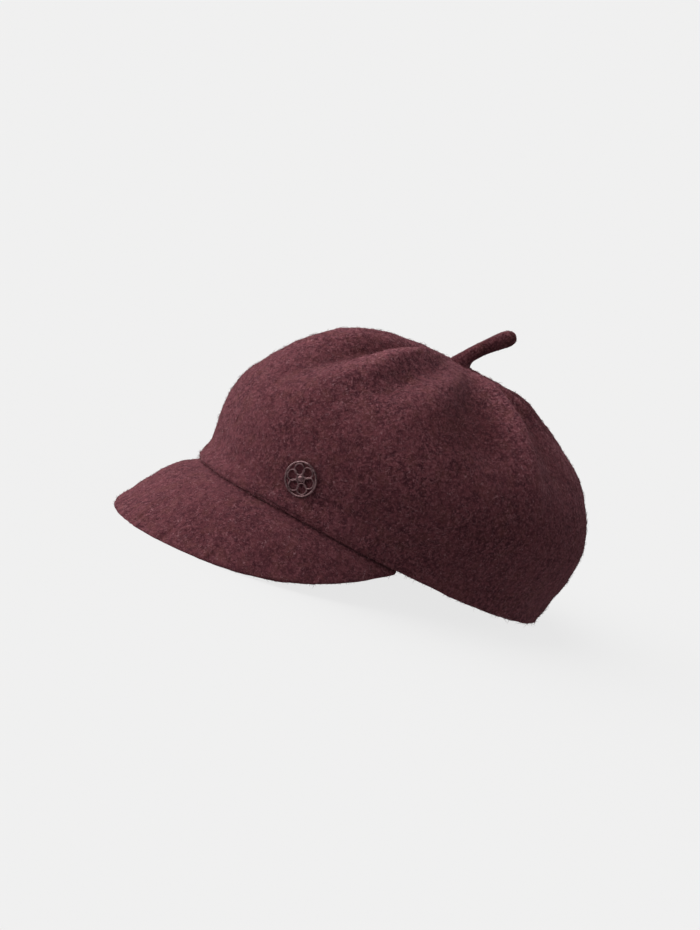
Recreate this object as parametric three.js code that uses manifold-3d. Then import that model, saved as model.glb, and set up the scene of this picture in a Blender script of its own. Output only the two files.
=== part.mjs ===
// A soft newsboy cap of boiled wool felt: a full round crown, a short curved peak sewn
// under the front of its rim, a small felt stem on top and a round openwork badge.
//
// Millimetres, +Z up. The front of the cap looks along -Y and the wearer's left is +X.
// The cap is shaped upright, with its rim at height 0, and then laid down as it rests by
// itself: on the front edge of its peak and on the back of its rim.

import * as THREE from "three";
import Module from "manifold-3d";
import { ParametricGeometry } from "three/addons/geometries/ParametricGeometry.js";
import { mergeVertices } from "three/addons/utils/BufferGeometryUtils.js";

// Crown
const WALL = 3; // thickness of the felt
const RIM_ARCH = 7.2; // how far the rim lifts over the forehead
const ARCH_FROM = 30; // degrees from the front at which that lift starts to fade
const ARCH_TO = 115; // and where it has died out
const ARCH_TOP = 0.4; // share of the profile over which that lift fades out
const RIM_STEADY = 0.03; // share under which the felt keeps the direction it has there
const POLE_BACK = 5; // how far behind the middle of the head opening the pole lies
const POLE_SWAY = 0.3; // share of the profile over which the crown starts to lean back
const FOLD_FADE = 0.86; // share of the profile from which the folds die out toward the pole
const CROWN_SECTORS = 72;
const OUTER_ROWS = 20;
const RIM_ROWS = 4;
const INNER_ROWS = 18;

// The crown's profile from the rim up to the pole: the distance from the middle of the
// crown and the height over the rim's lower edge, at the front, at both sides and at the back.
const crownRows = [
  { name: "rim", front: 101, frontUp: 1.5, side: 84.5, sideUp: 1.5, back: 101, backUp: 1.5 },
  { name: "hem", front: 100.8, frontUp: 7.5, side: 86, sideUp: 7.5, back: 102.5, backUp: 7.5 },
  { name: "pinch", front: 98, frontUp: 15, side: 88, sideUp: 15, back: 104, backUp: 15 },
  { name: "low", front: 98.5, frontUp: 28, side: 93, sideUp: 28, back: 106.5, backUp: 28 },
  { name: "belly", front: 98.5, frontUp: 44, side: 96, sideUp: 44, back: 105.5, backUp: 45 },
  { name: "shoulder", front: 93, frontUp: 61, side: 91, sideUp: 61, back: 97.5, backUp: 63 },
  { name: "slope", front: 80, frontUp: 79, side: 78.5, sideUp: 76.5, back: 83, backUp: 80 },
  { name: "upper", front: 62.5, frontUp: 94, side: 60, sideUp: 91, back: 60.5, backUp: 93 },
  { name: "crest", front: 42, frontUp: 103, side: 38, sideUp: 100.5, back: 36, backUp: 101.5 },
  { name: "collar", front: 18, frontUp: 106.5, side: 15, sideUp: 105.5, back: 14, backUp: 105 },
  { name: "pole", front: 0, frontUp: 105.5, side: 0, sideUp: 105.5, back: 0, backUp: 105.5 },
];

// The soft folds that run down from the stem. A ridge rises and a trough sinks. Each row
// gives the angle from the front toward the wearer's left, how far the fold swings to a
// larger angle from its middle to the pole, its depth, its half width in degrees on the side
// of the smaller and of the larger angles, and the place of its middle and its half length,
// both as shares of the profile.
const folds = [
  { name: "brow ridge", angle: 27, swing: 4, rise: 4.2, before: 10, after: 7, middle: 0.76, length: 0.12 },
  { name: "brow ridge end", angle: 20, swing: 32, rise: 2.8, before: 9, after: 9, middle: 0.6, length: 0.09 },
  { name: "brow trough", angle: 42, swing: 24, rise: -2.4, before: 8, after: 8, middle: 0.7, length: 0.11 },
  { name: "temple ridge", angle: 57, swing: 18, rise: 2.6, before: 9, after: 9, middle: 0.7, length: 0.15 },
  { name: "temple trough", angle: 76, swing: -2, rise: -4.6, before: 10, after: 13, middle: 0.68, length: 0.13 },
  { name: "ear ridge", angle: 100, swing: -8, rise: 5.4, before: 12, after: 6, middle: 0.69, length: 0.15 },
  { name: "ear ridge top", angle: 90, swing: -20, rise: 1.8, before: 11, after: 8, middle: 0.835, length: 0.05 },
  { name: "ear trough", angle: 118, swing: -8, rise: -3.4, before: 7, after: 10, middle: 0.68, length: 0.14 },
  { name: "nape ridge", angle: 119, swing: -34, rise: 4, before: 5, after: 3.2, middle: 0.8, length: 0.065 },
  { name: "nape trough", angle: 130, swing: -30, rise: -5.5, before: 5, after: 8, middle: 0.79, length: 0.09 },
  { name: "nape lobe", angle: 152, swing: -8, rise: 4, before: 9, after: 10, middle: 0.8, length: 0.08 },
  { name: "back trough", angle: 176, swing: 0, rise: -4, before: 9, after: 10, middle: 0.68, length: 0.16 },
  { name: "back ridge", angle: 194, swing: 0, rise: 3, before: 10, after: 10, middle: 0.7, length: 0.16 },
  { name: "far nape trough", angle: 212, swing: 0, rise: -4, before: 9, after: 10, middle: 0.66, length: 0.16 },
  { name: "far ear ridge", angle: 233, swing: 8, rise: 3.5, before: 9, after: 9, middle: 0.72, length: 0.16 },
  { name: "far ear trough", angle: 254, swing: 0, rise: -4.5, before: 11, after: 12, middle: 0.65, length: 0.17 },
  { name: "far temple ridge", angle: 279, swing: -8, rise: 3.5, before: 9, after: 9, middle: 0.7, length: 0.16 },
  { name: "far temple trough", angle: 303, swing: 0, rise: -4, before: 11, after: 11, middle: 0.67, length: 0.16 },
  { name: "far brow ridge", angle: 343, swing: 0, rise: 4.2, before: 13, after: 10, middle: 0.71, length: 0.15 },
  { name: "crease", angle: 6, swing: 4, rise: -5.8, before: 8, after: 8, middle: 0.72, length: 0.15 },
];

// Peak
const PEAK_HALF_ARC = 74.5; // degrees from the front to where the peak runs out
const PEAK_THICKNESS = 3.4;
const TONGUE_THICKNESS = 2.2; // the sewn edge of the peak, tucked inside the rim
const TONGUE_HEIGHT = 3.2;
const SEAM_GAP = 1; // between the tongue and the felt of the crown
const SEAM_DROP = 4.9; // from the rim line down to the middle of the peak's felt
const PEAK_SLICES = 32;
const PEAK_STACKS = 48;
const EDGE_FULLNESS = 0.4; // below 1 the cut edge is blunt, at 1 it is drawn out to a blade
const TONGUE_SHARE = 0.3; // share of its section over which the peak reaches its full thickness
const END_SHARPNESS = 8; // the higher, the shorter the stretch over which the peak runs out
const peakEnd = { out: -4.8, up: -2.6 }; // where it runs out, measured from the rim line

// Width of the peak in eight equal steps from the front to where it runs out
const peakReach = [47.2, 46.6, 44.6, 41.8, 37.3, 30.2, 20.4, 9.5, 0];

// How the peak bends down from the seam to its edge, as shares of its width. The last column
// is the share of PEAK_DROOP, by which it hangs lower all along, under the arch of the rim.
const PEAK_DROOP = 3.7;
const peakBend = [
  { out: 0, down: 0, droop: 0 },
  { out: 0.174, down: 0.095, droop: 0.36 },
  { out: 0.333, down: 0.24, droop: 0.64 },
  { out: 0.46, down: 0.402, droop: 0.84 },
  { out: 0.575, down: 0.568, droop: 0.96 },
  { out: 0.693, down: 0.73, droop: 1 },
];

// Stem
const STEM_GAP = 1; // over the pole, which clears the crown beside it
const STEM_SECTORS = 14;
const STEM_BACK = 23; // from its foot to its tip
const STEM_UP = 24;
const stemBow = [{ back: 0.6, up: 5.5 }, { back: 11, up: 15 }]; // what its curve bends toward
const STEM_LENGTH = 33;
const stemRows = [
  { radius: 0, along: 0 },
  { radius: 6, along: 0 },
  { radius: 4.7, along: 1.6 },
  { radius: 3.7, along: 4.5 },
  { radius: 3.4, along: 9 },
  { radius: 3.5, along: 15 },
  { radius: 3.8, along: 21 },
  { radius: 3.9, along: 27 },
  { radius: 2.8, along: 31.5 },
  { radius: 0, along: STEM_LENGTH },
];

// Badge
const BADGE_ANGLE = 32.5;
const BADGE_HEIGHT = 0.275; // share of the crown's profile
const BADGE_GAP = 0.6; // over the felt at its middle, which clears the curve of the crown
const RING_RADIUS = 8.7;
const RING_WIRE = 0.6;
const PETALS = 6;
const PETAL_RADIUS = 2.8;
const PETAL_WIRE = 0.42;
const PETAL_CENTRE = 5;
const BEAD_RADIUS = 2;

// Resting
const PRESSED = 1; // how far the felt is pressed flat where it rests

const DEGREE = Math.PI / 180;
const STEP = 1e-3;
const UP = new THREE.Vector3(0, 0, 1);

function profile(reach, height) {
  return new THREE.SplineCurve(crownRows.map((row) => new THREE.Vector2(row[reach], row[height])));
}

const frontProfile = profile("front", "frontUp");
const sideProfile = profile("side", "sideUp");
const backProfile = profile("back", "backUp");

// A point of the crown without its folds. The share runs from 0 at the rim to 1 at the pole.
function smoothCrown(angle, share) {
  const across = Math.sin(angle);
  const along = Math.cos(angle);
  const end = (along > 0 ? frontProfile : backProfile).getPoint(share);
  const flank = sideProfile.getPoint(share);
  const fade = Math.max(1 - share / ARCH_TOP, 0);
  const apart = Math.acos(Math.min(Math.max(along, -1), 1)) / DEGREE;
  const lift = 1 - THREE.MathUtils.smoothstep(apart, ARCH_FROM, ARCH_TO);
  const arch = RIM_ARCH * lift * fade ** 2;
  const height = end.y * along ** 2 + flank.y * across ** 2 + arch;
  const sway = POLE_BACK * THREE.MathUtils.smoothstep(share, POLE_SWAY, 1);
  return new THREE.Vector3(flank.x * across, sway - end.x * along, height);
}

function outward(angle, share) {
  if (share >= 1) return UP.clone();
  const middle = Math.min(Math.max(share, RIM_STEADY), 1 - STEP);
  const round = smoothCrown(angle + STEP, middle).sub(smoothCrown(angle - STEP, middle));
  const rise = smoothCrown(angle, middle + STEP).sub(smoothCrown(angle, middle - STEP));
  return round.cross(rise).normalize();
}

function foldHeight(angle, share) {
  const polar = 1 - THREE.MathUtils.smoothstep(share, FOLD_FADE, 1);
  let height = 0;
  for (const fold of folds) {
    const swung = fold.angle + fold.swing * (share - fold.middle) / (1 - fold.middle);
    const turn = THREE.MathUtils.euclideanModulo(angle / DEGREE - swung + 180, 360) - 180;
    const across = (turn / (turn < 0 ? fold.before : fold.after)) ** 2;
    const along = ((share - fold.middle) / fold.length) ** 2;
    height += fold.rise * Math.exp(-across - along) * polar;
  }
  return height;
}

function crownPoint(angle, share, depth) {
  const shift = foldHeight(angle, share) - depth;
  return smoothCrown(angle, share).addScaledVector(outward(angle, share), shift);
}

// The felt runs from the pole down the inside, round the rim and up the outside.
function crownSurface(u, v, target) {
  const angle = (u % 1) * 2 * Math.PI;
  const row = v * (INNER_ROWS + RIM_ROWS + OUTER_ROWS);
  if (row < INNER_ROWS) {
    target.copy(crownPoint(angle, 1 - row / INNER_ROWS, WALL));
    return;
  }
  if (row > INNER_ROWS + RIM_ROWS) {
    target.copy(crownPoint(angle, (row - INNER_ROWS - RIM_ROWS) / OUTER_ROWS, 0));
    return;
  }
  const turn = Math.PI * (row - INNER_ROWS) / RIM_ROWS;
  target.copy(crownPoint(angle, 0, WALL / 2 * (1 + Math.cos(turn))));
  target.z -= WALL / 2 * Math.sin(turn);
}

function makeCrown() {
  return new ParametricGeometry(crownSurface, CROWN_SECTORS, INNER_ROWS + RIM_ROWS + OUTER_ROWS);
}

// The middle of the peak's felt, cut through at one angle: down inside the rim, round under
// it and out to the edge. Its x is the distance out from the rim and its y the height.
function peakPath(reach) {
  const inside = -(WALL + SEAM_GAP + TONGUE_THICKNESS / 2);
  const top = new THREE.Vector2(inside, TONGUE_HEIGHT);
  const foot = new THREE.Vector2(inside, 0);
  const start = new THREE.Vector2(0, -SEAM_DROP);
  const slope = peakBend[1].down / peakBend[1].out;
  const corner = new THREE.Vector2(inside, start.y - slope * inside);
  const plate = peakBend.map(({ out, down, droop }) => (
    new THREE.Vector2(reach * out, -reach * down - PEAK_DROOP * droop).add(start)
  ));
  const path = new THREE.CurvePath();
  path.add(new THREE.LineCurve(top, foot));
  path.add(new THREE.QuadraticBezierCurve(foot, corner, start));
  path.add(new THREE.SplineCurve(plate));
  return path;
}

const reachCurve = new THREE.SplineCurve(peakReach.map((reach, i) => new THREE.Vector2(i, reach)));

function peakSurface(u, v, target) {
  const share = 2 * v - 1;
  const angle = share * PEAK_HALF_ARC * DEGREE;
  const ending = Math.sqrt(Math.max(1 - Math.abs(share) ** END_SHARPNESS, 0));
  const path = peakPath(reachCurve.getPoint(Math.min(Math.abs(share), 1)).y);
  const turn = (u % 1) * 2 * Math.PI;
  const run = (1 - Math.cos(turn)) / 2;
  const side = Math.sin(turn);
  const filling = THREE.MathUtils.smoothstep(run, 0, TONGUE_SHARE);
  const thickness = THREE.MathUtils.lerp(TONGUE_THICKNESS, PEAK_THICKNESS, filling);
  const offset = thickness / 2 * Math.sign(side) * Math.abs(side) ** EDGE_FULLNESS;
  const middle = path.getPoint(run);
  const along = path.getTangent(run);
  const out = THREE.MathUtils.lerp(peakEnd.out, middle.x - along.y * offset, ending);
  const height = THREE.MathUtils.lerp(peakEnd.up, middle.y + along.x * offset, ending);
  const { side: halfWidth, front: halfLength } = crownRows[0];
  const away = new THREE.Vector3(Math.sin(angle) / halfWidth, -Math.cos(angle) / halfLength, 0);
  target.copy(smoothCrown(angle, 0)).addScaledVector(away.normalize(), out).addScaledVector(UP, height);
}

function makePeak() {
  return new ParametricGeometry(peakSurface, PEAK_SLICES, PEAK_STACKS);
}

function makeStem() {
  const outline = stemRows.map(({ radius, along }) => new THREE.Vector2(radius, along));
  const stem = new THREE.LatheGeometry(outline, STEM_SECTORS);
  const bow = new THREE.CubicBezierCurve3(
    new THREE.Vector3(0, 0, 0),
    new THREE.Vector3(0, stemBow[0].back, stemBow[0].up),
    new THREE.Vector3(0, stemBow[1].back, stemBow[1].up),
    new THREE.Vector3(0, STEM_BACK, STEM_UP),
  );
  const sideways = new THREE.Vector3(1, 0, 0);
  const position = stem.getAttribute("position");
  for (let i = 0; i < position.count; i += 1) {
    const share = position.getY(i) / STEM_LENGTH;
    const place = bow.getPointAt(share);
    const forward = sideways.clone().cross(share > 0 ? bow.getTangentAt(share) : UP);
    place.addScaledVector(sideways, position.getX(i)).addScaledVector(forward, position.getZ(i));
    position.setXYZ(i, place.x, place.y, place.z);
  }
  return stem.translate(0, POLE_BACK, smoothCrown(0, 1).z + STEM_GAP);
}

function toSolid(wasm, geometry) {
  const bare = geometry.clone();
  bare.deleteAttribute("normal");
  bare.deleteAttribute("uv");
  const merged = mergeVertices(bare, 1e-4);
  const vertProperties = merged.getAttribute("position").array;
  const triVerts = Uint32Array.from(merged.getIndex().array);
  return new wasm.Manifold(new wasm.Mesh({ numProp: 3, vertProperties, triVerts }));
}

function toGeometry(solid) {
  const mesh = solid.getMesh();
  const geometry = new THREE.BufferGeometry();
  geometry.setAttribute("position", new THREE.BufferAttribute(mesh.vertProperties, 3));
  geometry.setIndex(new THREE.BufferAttribute(mesh.triVerts, 1));
  return geometry;
}

// A wire ring that holds a rosette of wire loops round a bead, all one piece of metal
function makeBadge(wasm) {
  let badge = toSolid(wasm, new THREE.TorusGeometry(RING_RADIUS, RING_WIRE, 6, 32));
  badge = badge.add(toSolid(wasm, new THREE.SphereGeometry(BEAD_RADIUS, 10, 6).scale(1, 1, 0.5)));
  for (let i = 0; i < PETALS; i += 1) {
    const angle = i * 2 * Math.PI / PETALS;
    const petal = new THREE.TorusGeometry(PETAL_RADIUS, PETAL_WIRE, 5, 12);
    petal.translate(PETAL_CENTRE * Math.cos(angle), PETAL_CENTRE * Math.sin(angle), 0);
    badge = badge.add(toSolid(wasm, petal));
  }
  const angle = BADGE_ANGLE * DEGREE;
  const facing = outward(angle, BADGE_HEIGHT);
  const right = UP.clone().cross(facing).normalize();
  const upright = facing.clone().cross(right);
  const centre = crownPoint(angle, BADGE_HEIGHT, -BADGE_GAP - RING_WIRE);
  const seat = new THREE.Matrix4().makeBasis(right, upright, facing).setPosition(centre);
  return toGeometry(badge).applyMatrix4(seat);
}

// The slope of the plane that the back of the rim and the peak both touch
function restingTilt(peak) {
  const heel = crownPoint(Math.PI, 0, WALL / 2).addScaledVector(UP, -WALL / 2);
  const position = peak.getAttribute("position");
  let slope = 0;
  for (let i = 0; i < position.count; i += 1) {
    slope = Math.max(slope, (heel.z - position.getZ(i)) / (heel.y - position.getY(i)));
  }
  return Math.atan(slope);
}

function bounds(geometries) {
  const box = new THREE.Box3();
  for (const geometry of geometries) {
    box.union(new THREE.Box3().setFromBufferAttribute(geometry.getAttribute("position")));
  }
  return box;
}

// Lays the cap down on height 0 and presses the felt flat where it touches
function layDown(geometries, tilt) {
  for (const geometry of geometries) geometry.rotateX(-tilt);
  const raised = bounds(geometries);
  for (const geometry of geometries) {
    geometry.translate(0, 0, -raised.min.z - PRESSED);
    const position = geometry.getAttribute("position");
    for (let i = 0; i < position.count; i += 1) position.setZ(i, Math.max(position.getZ(i), 0));
  }
  const middle = bounds(geometries).getCenter(new THREE.Vector3());
  for (const geometry of geometries) geometry.translate(-middle.x, -middle.y, 0);
}

const felt = { color: 0x5c373c, roughness: 0.95, metalness: 0 };
const darkFelt = { color: 0x53303a, roughness: 0.95, metalness: 0 };
const metal = { color: 0x3a2226, roughness: 0.35, metalness: 0.8 };

const wasm = await Module();
wasm.setup();

const pieces = [
  { name: "crown", geometry: makeCrown(), finish: felt },
  { name: "peak", geometry: makePeak(), finish: felt },
  { name: "stem", geometry: makeStem(), finish: darkFelt },
  { name: "badge", geometry: makeBadge(wasm), finish: metal },
];
layDown(pieces.map(({ geometry }) => geometry), restingTilt(pieces[1].geometry));

const cap = new THREE.Group();
for (const { name, geometry, finish } of pieces) {
  const mesh = new THREE.Mesh(geometry, new THREE.MeshStandardMaterial(finish));
  mesh.name = name;
  cap.add(mesh);
}

export default cap;
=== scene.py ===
# %% [markdown]
# # A felt newsboy cap
#
# The cap is of boiled wool: knitted wide, then washed hot until the loops mat together into
# felt about 3 mm thick. It has a full round crown, a short curved peak sewn on under the
# front of the rim, a little felt stem on top and a round openwork badge of metal wire.
#
# The construction model already holds each piece at its real size, as a plain solid. This
# lesson dresses it: it makes each piece again with the soft relief, the seam and the nap
# that felt has, and gives it a finish. First the model is loaded, and its box is noted.

# %% Load the frame
import math
from collections import namedtuple

import bmesh
import bpy
import numpy as np
from mathutils import Matrix, Vector, noise


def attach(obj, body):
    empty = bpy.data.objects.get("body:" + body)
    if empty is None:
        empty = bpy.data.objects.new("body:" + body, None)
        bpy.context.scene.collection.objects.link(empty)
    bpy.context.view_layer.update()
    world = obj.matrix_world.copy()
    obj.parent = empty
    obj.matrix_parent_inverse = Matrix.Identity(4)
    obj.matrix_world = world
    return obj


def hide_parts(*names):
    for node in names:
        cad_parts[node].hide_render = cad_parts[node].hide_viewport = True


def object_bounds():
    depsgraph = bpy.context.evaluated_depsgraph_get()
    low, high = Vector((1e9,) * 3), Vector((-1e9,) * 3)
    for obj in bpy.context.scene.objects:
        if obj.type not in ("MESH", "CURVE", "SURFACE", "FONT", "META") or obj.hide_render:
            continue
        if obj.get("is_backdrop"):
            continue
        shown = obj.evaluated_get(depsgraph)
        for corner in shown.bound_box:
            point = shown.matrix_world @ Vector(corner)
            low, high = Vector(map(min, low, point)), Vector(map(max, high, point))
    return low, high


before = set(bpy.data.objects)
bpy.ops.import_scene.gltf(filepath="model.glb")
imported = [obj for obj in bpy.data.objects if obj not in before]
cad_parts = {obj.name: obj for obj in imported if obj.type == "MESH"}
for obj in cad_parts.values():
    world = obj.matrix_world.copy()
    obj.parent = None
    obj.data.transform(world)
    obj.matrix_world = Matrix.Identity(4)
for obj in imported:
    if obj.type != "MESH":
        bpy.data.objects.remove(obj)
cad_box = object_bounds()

MM = 0.001
DEGREE = math.pi / 180
print("nodes in the frame:", ", ".join(sorted(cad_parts)))

# %% [markdown]
# ## The pattern of the cap
#
# A hatter blocks a cap over a form, so its shape is a few measures of that form: how far the
# felt stands out from the middle, and how high, at the front, at the sides and at the back.
# The rows of the table run from the rim up to the pole, in millimetres. A smooth curve goes
# through them. It could be drawn as a curve object, but a formula can be read at any angle
# and height, which every later piece needs.
#
# Over the peak the rim is arched up a little. Close to the rim the arch is steeper than the
# profile, so the direction out of the felt is read a little higher up, where it is sure.

# %% The crown's profile
Row = namedtuple("Row", "name front front_up side side_up back back_up")
CROWN_ROWS = [
    Row("rim", 101, 1.5, 84.5, 1.5, 101, 1.5),
    Row("hem", 100.8, 7.5, 86, 7.5, 102.5, 7.5),
    Row("pinch", 98, 15, 88, 15, 104, 15),
    Row("low", 98.5, 28, 93, 28, 106.5, 28),
    Row("belly", 98.5, 44, 96, 44, 105.5, 45),
    Row("shoulder", 93, 61, 91, 61, 97.5, 63),
    Row("slope", 80, 79, 78.5, 76.5, 83, 80),
    Row("upper", 62.5, 94, 60, 91, 60.5, 93),
    Row("crest", 42, 103, 38, 100.5, 36, 101.5),
    Row("collar", 18, 106.5, 15, 105.5, 14, 105),
    Row("pole", 0, 105.5, 0, 105.5, 0, 105.5),
]
WALL = 3                # the felt's thickness
RIM_ARCH = 7.2          # how far the rim is raised at the front
ARCH_FADES = (30, 115)  # degrees from the front between which the arch dies out
ARCH_TOP = 0.4          # the share of the profile up to which the arch reaches
RIM_STEADY = 0.03       # the share below which the way out of the felt stays the same
POLE_BACK = 5           # how far the pole lies behind the middle
POLE_SWAY = 0.3         # the share from which the profile leans back toward it


def through(values, share):
    """A smooth curve through evenly spaced values, read at shares from 0 to 1."""
    values = np.asarray(values, float)
    last = len(values) - 1
    place = np.clip(share, 0, 1) * last
    row = np.minimum(place.astype(int), last - 1)
    t = place - row
    here, there = values[row], values[row + 1]
    leaving = (there - values[np.maximum(row - 1, 0)]) / 2
    arriving = (values[np.minimum(row + 2, last)] - here) / 2
    ease = 3 * t**2 - 2 * t**3
    turn = (t**3 - 2 * t**2 + t) * leaving + (t**3 - t**2) * arriving
    return here * (1 - ease) + there * ease + turn


def smoothstep(value, low, high):
    t = np.clip((value - low) / (high - low), 0, 1)
    return t * t * (3 - 2 * t)


def column(name, share):
    return through([getattr(row, name) for row in CROWN_ROWS], share)


def smooth_crown(angle, share):
    """The crown without folds. The angle runs from the front toward the wearer's left."""
    across, along = np.sin(angle), np.cos(angle)
    ahead = along > 0
    reach = np.where(ahead, column("front", share), column("back", share))
    height = np.where(ahead, column("front_up", share), column("back_up", share))
    apart = np.arccos(np.clip(along, -1, 1)) / DEGREE
    arch = RIM_ARCH * (1 - smoothstep(apart, *ARCH_FADES)) * np.maximum(1 - share / ARCH_TOP, 0) ** 2
    sway = POLE_BACK * smoothstep(share, POLE_SWAY, 1)
    up = height * along**2 + column("side_up", share) * across**2 + arch
    return np.stack([column("side", share) * across, sway - reach * along, up], -1)


def unit(vectors):
    return vectors / np.linalg.norm(vectors, axis=-1, keepdims=True)


def outward(angle, share, step=1e-3):
    """The direction straight out of the felt, which stays the same close to the rim."""
    middle = np.clip(share, RIM_STEADY, 1 - step)
    around = smooth_crown(angle + step, middle) - smooth_crown(angle - step, middle)
    upward = smooth_crown(angle, middle + step) - smooth_crown(angle, middle - step)
    out = unit(np.cross(around, upward))
    out[share >= 1] = (0, 0, 1)
    return out


rim_round = smooth_crown(np.linspace(0, 2 * math.pi, 721), np.zeros(721))
rim_length = np.linalg.norm(np.diff(rim_round, axis=0), axis=1).sum()
print(f"the rim measures {rim_length:.0f} mm round outside")

# %% [markdown]
# ## The folds
#
# The felt is fuller than the head it covers, so it settles in soft folds that run down from
# the stem. Sculpting them by hand would work, but a table keeps them readable: each row is
# one ridge, where the felt rises, or one trough, where it sinks. An angle says where it
# runs, a swing says how far it turns on its way up, and two widths say how it falls off on
# either side. The first table has the main folds, as the construction model has them. The
# second has the small ones that only show close to: the sharp backs of the ridges and a few
# dents.
#
# The third table moves nothing. It is painted light and shade: where one of its rows rises, the
# felt's colour is made lighter, as where light falls, and where it sinks, darker, as where a fold
# shades the felt. Rows of the same kind describe it, and the finish of the felt reads them later.

# %% The tables of folds
Fold = namedtuple("Fold", "name angle swing rise before after middle length")
MAIN_FOLDS = [
    Fold("brow ridge", 27, 4, 4.2, 10, 7, 0.76, 0.12),
    Fold("brow ridge end", 20, 32, 2.8, 9, 9, 0.6, 0.09),
    Fold("brow trough", 42, 24, -2.4, 8, 8, 0.7, 0.11),
    Fold("temple ridge", 57, 18, 2.6, 9, 9, 0.7, 0.15),
    Fold("temple trough", 76, -2, -4.6, 10, 13, 0.68, 0.13),
    Fold("ear ridge", 100, -8, 5.4, 12, 6, 0.69, 0.15),
    Fold("ear ridge top", 90, -20, 1.8, 11, 8, 0.835, 0.05),
    Fold("ear trough", 118, -8, -3.4, 7, 10, 0.68, 0.14),
    Fold("nape ridge", 119, -34, 4, 5, 3.2, 0.8, 0.065),
    Fold("nape trough", 130, -30, -5.5, 5, 8, 0.79, 0.09),
    Fold("nape lobe", 152, -8, 4, 9, 10, 0.8, 0.08),
    Fold("back trough", 176, 0, -4, 9, 10, 0.68, 0.16),
    Fold("back ridge", 194, 0, 3, 10, 10, 0.7, 0.16),
    Fold("far nape trough", 212, 0, -4, 9, 10, 0.66, 0.16),
    Fold("far ear ridge", 233, 8, 3.5, 9, 9, 0.72, 0.16),
    Fold("far ear trough", 254, 0, -4.5, 11, 12, 0.65, 0.17),
    Fold("far temple ridge", 279, -8, 3.5, 9, 9, 0.7, 0.16),
    Fold("far temple trough", 303, 0, -4, 11, 11, 0.67, 0.16),
    Fold("far brow ridge", 343, 0, 4.2, 13, 10, 0.71, 0.15),
    Fold("crease", 6, 4, -5.8, 8, 8, 0.72, 0.15),
]
SMALL_FOLDS = [
    Fold("brow ridge back", 30, 4, 0.8, 4, 3, 0.76, 0.08),
    Fold("brow ridge top", 36, 4, 2.4, 8, 6, 0.825, 0.045),
    Fold("brow dent", 39, 0, -1.0, 4, 4, 0.69, 0.03),
    Fold("ear ridge back", 98, -8, 1.5, 3.5, 2.5, 0.69, 0.12),
    Fold("ear ridge side", 105, -8, -1.6, 2.5, 6, 0.7, 0.12),
    Fold("ear ridge low", 103, -8, 1.2, 8, 3.5, 0.55, 0.07),
    Fold("nape ridge back", 120, -34, 1.6, 3, 1.8, 0.8, 0.06),
    Fold("nape lobe slack", 152, -8, -1.6, 9, 10, 0.8, 0.08),
]
# Painted light and shade, not shape: a row that rises lightens the felt's colour, one that sinks darkens
# it.
PAINTED_LIGHT_AND_SHADE = [
    Fold("round the stem", 30, 0, 4.5, 28, 20, 0.86, 0.06),
    Fold("brow ridge", 20, 10, 2.5, 5, 5, 0.68, 0.06),
    Fold("brow ridge top", 31, 0, 4.5, 7, 9, 0.81, 0.045),
    Fold("brow trough", 41, 24, 3, 8, 8, 0.7, 0.06),
    Fold("under the brow ridge", 28, 0, -2.5, 14, 14, 0.46, 0.07),
    Fold("temple trough", 74, -4, -3, 8, 8, 0.74, 0.07),
    Fold("under the temple trough", 70, 0, -5, 11, 11, 0.62, 0.085),
    Fold("under the temple ridge", 58, 8, -3.5, 6, 6, 0.6, 0.07),
    Fold("before the ear ridge", 85, -4, -4.5, 5, 5, 0.68, 0.08),
    Fold("over the seam", 50, 0, 4, 20, 18, 0.14, 0.12),
    Fold("ear trough", 112, -8, -3.5, 5, 6, 0.66, 0.14),
    Fold("nape ridge", 119, -34, 3, 6, 4, 0.79, 0.07),
    Fold("behind the nape ridge", 148, -12, -8, 12, 14, 0.8, 0.11),
]
FOLD_FADE = 0.86  # the share from which all folds die out toward the pole


def fold_height(angle, share, folds):
    """How far the folds lift the felt, in millimetres."""
    polar = 1 - smoothstep(share, FOLD_FADE, 1)
    height = np.zeros_like(share)
    for fold in folds:
        swung = fold.angle + fold.swing * (share - fold.middle) / (1 - fold.middle)
        turn = (angle / DEGREE - swung + 180) % 360 - 180
        across = (turn / np.where(turn < 0, fold.before, fold.after)) ** 2
        along = ((share - fold.middle) / fold.length) ** 2
        height += fold.rise * np.exp(-across - along) * polar
    return height


def crown_point(angle, share, depth=0):
    """A point of the crown, that deep under its outer face."""
    shift = fold_height(angle, share, MAIN_FOLDS + SMALL_FOLDS) - depth
    return smooth_crown(angle, share) + outward(angle, share) * shift[..., None]


# The third count is of the rows of painted light and shade.
print(len(MAIN_FOLDS), "main folds,", len(SMALL_FOLDS), "small ones", len(PAINTED_LIGHT_AND_SHADE), "turns of the nap")

# %% [markdown]
# ## How the cap lies
#
# All of this is worked out with the cap upright, its rim at height 0. On a table a cap with
# a peak doesn't sit level: it rests on the back of its rim and on the front edge of its
# peak. So each finished shape is tipped back by that angle and set down, as the construction
# model was, and the felt is pressed flat where it meets the table.

# %% Lay a shape down
REST_TILT = 8.5145 * DEGREE
REST_PLACE = (-0.043, 13.208, 13.377)


def lay_down(points):
    """From the upright cap in millimetres to the resting cap in metres."""
    x, y, z = np.moveaxis(np.asarray(points, float), -1, 0)
    lean, rise = math.sin(REST_TILT), math.cos(REST_TILT)
    tipped = np.stack([x, y * rise + z * lean, z * rise - y * lean], -1) + REST_PLACE
    tipped[..., 2] = np.maximum(tipped[..., 2], 0)
    return tipped * MM


pole = lay_down(smooth_crown(np.zeros(1), np.ones(1)))[0]
print("the pole lies at", [round(float(c) / MM, 1) for c in pole], "mm")

# %% [markdown]
# ## Felt has no smooth faces
#
# Even well blocked felt is a little uneven: broad soft lumps where the wool matted thicker,
# and small nubs where it pilled. Both are real shape, large enough to show on the outline,
# so they go into the mesh, and only what is finer goes into the bump of the material. Noise
# that is read at each point's own place gives the same lumps every time, with no seam.

# %% The relief of the felt
LUMP_SIZE, LUMP_RISE = 15, 0.6
NUB_SIZE, NUB_RISE = 4.2, 0.38


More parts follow.
